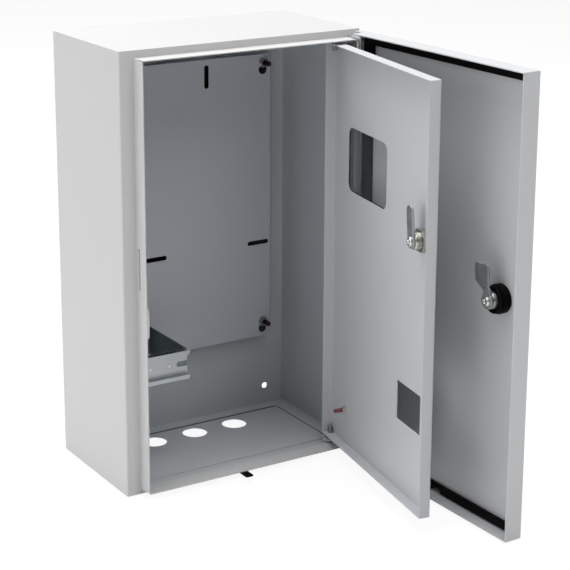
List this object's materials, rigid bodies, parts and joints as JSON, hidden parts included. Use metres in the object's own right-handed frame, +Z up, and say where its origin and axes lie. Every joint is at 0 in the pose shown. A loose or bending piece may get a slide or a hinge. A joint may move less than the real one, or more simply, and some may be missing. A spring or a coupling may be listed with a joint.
{
  "type": "distribution box",
  "caption": "Wall-mounted sheet-metal distribution box with an inner door with window, a gasketed outer door, quarter-turn cam locks, a mounting plate and a short top-hat rail.",
  "frame": {"origin": "centre of the four wall holes on the back face", "axes": "+X across the box towards the hinges, +Y out of the back face towards the wall, +Z up"},
  "size_m": [0.3146, 0.4797, 0.51],
  "materials": {
    "body_paint": "light grey powder coat, semi-gloss",
    "inner_paint": "light grey powder coat, semi-gloss",
    "zinc": "zinc plated, dull bright",
    "galvanised": "galvanised sheet, dull",
    "copper_plate": "copper plated steel",
    "black_rubber": "matt foam rubber",
    "black_plastic": "matt",
    "chromed": "bright",
    "clear": "clear"
  },
  "bodies": {
    "body": {"body_shell": "body_paint", "seal_lug": "black_plastic", "gland_plate": "body_paint", "gland_plate_screws": "zinc", "mounting_plate": "inner_paint", "plate_studs": "copper_plate", "plate_spacers": "zinc", "plate_washers": "zinc", "plate_nuts": "zinc", "din_rail": "zinc", "din_bracket": "inner_paint", "din_rail_screws": "zinc", "din_bracket_screws": "zinc", "inner_pivot_tabs": "inner_paint", "inner_pivot_pins": "zinc", "inner_pivot_nuts": "zinc", "inner_lock_keeper": "body_paint", "outer_hinge_frames": "galvanised", "outer_hinge_pins": "zinc"},
    "outer_door": {"outer_door": "body_paint", "door_gasket": "black_rubber", "outer_hinge_leaves": "galvanised", "outer_lock_body": "chromed", "outer_lock_seal": "black_plastic"},
    "outer_lock_cam": {"outer_cam": "galvanised", "outer_cam_plug": "zinc", "outer_cam_screw": "zinc"},
    "inner_door": {"inner_door": "inner_paint", "window_pane": "clear", "earth_stud": "copper_plate", "earth_washer": "zinc", "earth_nut": "zinc", "inner_lock_body": "chromed", "inner_lock_nut": "zinc"},
    "inner_lock_cam": {"inner_cam": "galvanised", "inner_cam_plug": "zinc", "inner_cam_screw": "zinc"}
  },
  "joints": [
    {"name": "outer_door_hinge", "type": "hinge", "parent": "body", "child": "outer_door", "pos_m": [0.1425, -0.1845, 0], "axis": [0, 0, 1], "range_deg": [-91, 19]},
    {"name": "inner_door_hinge", "type": "hinge", "parent": "body", "child": "inner_door", "pos_m": [0.122, -0.1635, 0], "axis": [0, 0, 1], "range_deg": [-80.21, 16.75]},
    {"name": "outer_lock_turn", "type": "hinge", "parent": "outer_door", "child": "outer_lock_cam", "pos_m": [0.14736, -0.43445, 0.0038], "axis": [0.9998, 0.0175, 0], "range_deg": [0, 90]},
    {"name": "inner_lock_turn", "type": "hinge", "parent": "inner_door", "child": "inner_lock_cam", "pos_m": [0.08165, -0.38537, 0.066], "axis": [0.9854, -0.1702, 0], "range_deg": [0, 90]}
  ],
  "couplings": [
    {"joint": "inner_door_hinge", "follows": "outer_door_hinge", "ratio": 0.88132}
  ]
}
